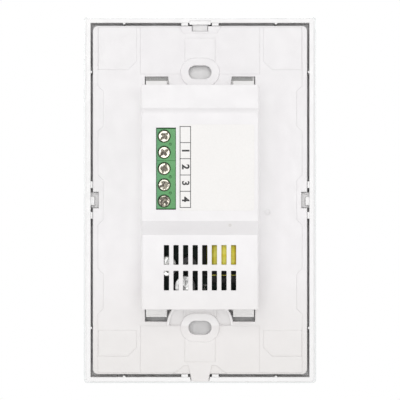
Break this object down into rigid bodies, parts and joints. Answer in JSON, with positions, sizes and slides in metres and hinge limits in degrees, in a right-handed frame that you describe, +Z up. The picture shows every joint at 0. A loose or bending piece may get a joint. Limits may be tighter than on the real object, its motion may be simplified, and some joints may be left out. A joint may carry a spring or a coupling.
{
  "type": "smart touch switch",
  "caption": "Glass-fronted touch switch for a single-gang wall box, with a vented rear housing, slotted mounting lugs and screw terminals.",
  "frame": {"origin": "midway between the two mounting slots, on the wall's face", "axes": "+X to the right and +Z up as seen from the room, +Y into the wall"},
  "size_m": [0.0768, 0.0395, 0.121],
  "materials": {
    "glass": "polished",
    "tape": "matt foam",
    "frame_white": "fine texture",
    "housing_white": "fine texture",
    "chassis_white": "fine texture",
    "board_green": "solder mask",
    "spring_steel": "drawn",
    "clear_guide": "clear",
    "led": "clear lens",
    "chip_black": "moulded",
    "shield_metal": "tinned",
    "connector_black": "moulded",
    "screw_steel": "zinc plated",
    "terminal_green": "moulded",
    "contact_brass": "tinned",
    "clamp_steel": "zinc plated",
    "relay_case": "moulded",
    "ferrite": "matt",
    "coil_tape": "tape",
    "bobbin_black": "moulded",
    "can_silver": "drawn",
    "choke_sleeve": "shrunk sleeve",
    "film_cap": "moulded",
    "varistor_blue": "dipped",
    "resistor_body": "coated",
    "label_paper": "coated"
  },
  "bodies": {
    "rear_body": {"rear_housing": "housing_white", "inner_chassis": "chassis_white", "touch_board": "board_green", "touch_springs": "spring_steel", "light_guides": "clear_guide", "indicator_leds": "led", "touch_controller": "chip_black", "radio_module": "board_green", "radio_shield": "shield_metal", "board_socket": "connector_black", "pin_header": "connector_black", "touch_board_screws": "screw_steel", "power_board": "board_green", "power_board_screws": "screw_steel", "terminal_block_two_way": "terminal_green", "terminal_block_three_way": "terminal_green", "terminal_contacts": "contact_brass", "relay_upper": "relay_case", "relay_lower": "relay_case", "transformer_core": "ferrite", "transformer_coil": "coil_tape", "transformer_bobbin": "bobbin_black", "output_capacitor": "can_silver", "input_capacitor": "can_silver", "filter_inductor": "choke_sleeve", "noise_capacitor": "film_cap", "varistor": "varistor_blue", "fusible_resistor": "resistor_body", "bridge_rectifier": "chip_black", "rating_label": "label_paper"},
    "front_panel": {"glass_panel": "glass", "panel_adhesive": "tape", "front_frame": "frame_white"},
    "terminal_screw_1": {"terminal_screw_1": "screw_steel"},
    "wire_clamp_1": {"wire_clamp_1": "clamp_steel"},
    "terminal_screw_2": {"terminal_screw_2": "screw_steel"},
    "wire_clamp_2": {"wire_clamp_2": "clamp_steel"},
    "terminal_screw_3": {"terminal_screw_3": "screw_steel"},
    "wire_clamp_3": {"wire_clamp_3": "clamp_steel"},
    "terminal_screw_4": {"terminal_screw_4": "screw_steel"},
    "wire_clamp_4": {"wire_clamp_4": "clamp_steel"},
    "terminal_screw_5": {"terminal_screw_5": "screw_steel"},
    "wire_clamp_5": {"wire_clamp_5": "clamp_steel"}
  },
  "joints": [
    {"name": "front_panel_pull", "type": "slide", "parent": "rear_body", "child": "front_panel", "axis": [0, -1, 0], "range_m": [0, 0.03]},
    {"name": "terminal_screw_1_turn", "type": "hinge", "parent": "rear_body", "child": "terminal_screw_1", "pos_m": [0.0112, 0.0248, 0.01996], "axis": [0, -1, 0], "range_deg": [0, 2161]},
    {"name": "wire_clamp_1_rise", "type": "slide", "parent": "rear_body", "child": "wire_clamp_1", "axis": [0, 1, 0], "range_m": [0, 0.0027]},
    {"name": "terminal_screw_2_turn", "type": "hinge", "parent": "rear_body", "child": "terminal_screw_2", "pos_m": [0.0112, 0.0248, 0.01488], "axis": [0, -1, 0], "range_deg": [0, 2161]},
    {"name": "wire_clamp_2_rise", "type": "slide", "parent": "rear_body", "child": "wire_clamp_2", "axis": [0, 1, 0], "range_m": [0, 0.0027]},
    {"name": "terminal_screw_3_turn", "type": "hinge", "parent": "rear_body", "child": "terminal_screw_3", "pos_m": [0.0112, 0.0248, 0.0098], "axis": [0, -1, 0], "range_deg": [0, 2161]},
    {"name": "wire_clamp_3_rise", "type": "slide", "parent": "rear_body", "child": "wire_clamp_3", "axis": [0, 1, 0], "range_m": [0, 0.0027]},
    {"name": "terminal_screw_4_turn", "type": "hinge", "parent": "rear_body", "child": "terminal_screw_4", "pos_m": [0.0112, 0.0248, 0.00472], "axis": [0, -1, 0], "range_deg": [0, 2161]},
    {"name": "wire_clamp_4_rise", "type": "slide", "parent": "rear_body", "child": "wire_clamp_4", "axis": [0, 1, 0], "range_m": [0, 0.0027]},
    {"name": "terminal_screw_5_turn", "type": "hinge", "parent": "rear_body", "child": "terminal_screw_5", "pos_m": [0.0112, 0.0248, -0.00036], "axis": [0, -1, 0], "range_deg": [0, 2161]},
    {"name": "wire_clamp_5_rise", "type": "slide", "parent": "rear_body", "child": "wire_clamp_5", "axis": [0, 1, 0], "range_m": [0, 0.0027]}
  ],
  "couplings": [
    {"joint": "terminal_screw_1_turn", "follows": "wire_clamp_1_rise", "rad_per_m": 13963},
    {"joint": "terminal_screw_2_turn", "follows": "wire_clamp_2_rise", "rad_per_m": 13963},
    {"joint": "terminal_screw_3_turn", "follows": "wire_clamp_3_rise", "rad_per_m": 13963},
    {"joint": "terminal_screw_4_turn", "follows": "wire_clamp_4_rise", "rad_per_m": 13963},
    {"joint": "terminal_screw_5_turn", "follows": "wire_clamp_5_rise", "rad_per_m": 13963}
  ]
}
